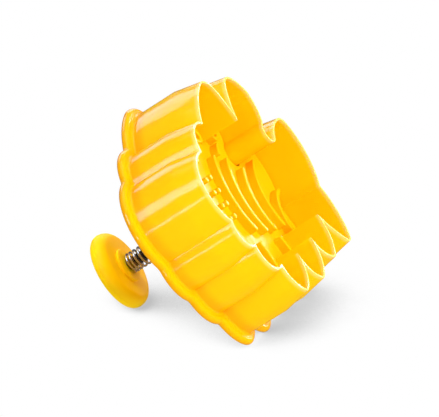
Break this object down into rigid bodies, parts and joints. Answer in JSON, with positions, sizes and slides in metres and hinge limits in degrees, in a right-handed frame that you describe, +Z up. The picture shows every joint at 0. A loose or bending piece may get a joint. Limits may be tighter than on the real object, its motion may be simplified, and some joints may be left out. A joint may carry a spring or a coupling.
{
  "type": "plunger cutter",
  "caption": "Plunger cutter for dough: bee-shaped shell with a thin cutting edge, a stamp with a raised pattern, steel pin, return spring and a round knob that presses the stamp out.",
  "frame": {"origin": "middle of the outline's box, on the plane of the cutting edge; the plunger's axis runs through it", "axes": "+Z up from the cutting edge to the knob, along the plunger; +Y along the bee towards its head; +X across it towards its feet"},
  "size_m": [0.073, 0.0902, 0.0549],
  "materials": {
    "yellow_plastic": "moulded gloss",
    "pin_steel": "drawn bright",
    "spring_steel": "bright wire"
  },
  "bodies": {
    "shell": {"cutter_shell": "yellow_plastic", "return_spring": "spring_steel"},
    "plunger": {"stamp": "yellow_plastic", "plunger_pin": "pin_steel", "knob": "yellow_plastic"}
  },
  "joints": [
    {"name": "plunger_press", "type": "slide", "parent": "shell", "child": "plunger", "axis": [0, 0, -1], "range_m": [0, 0.011], "stiffness_N_per_m": 770, "springref_m": -0.004, "deforming": ["return_spring"]}
  ]
}
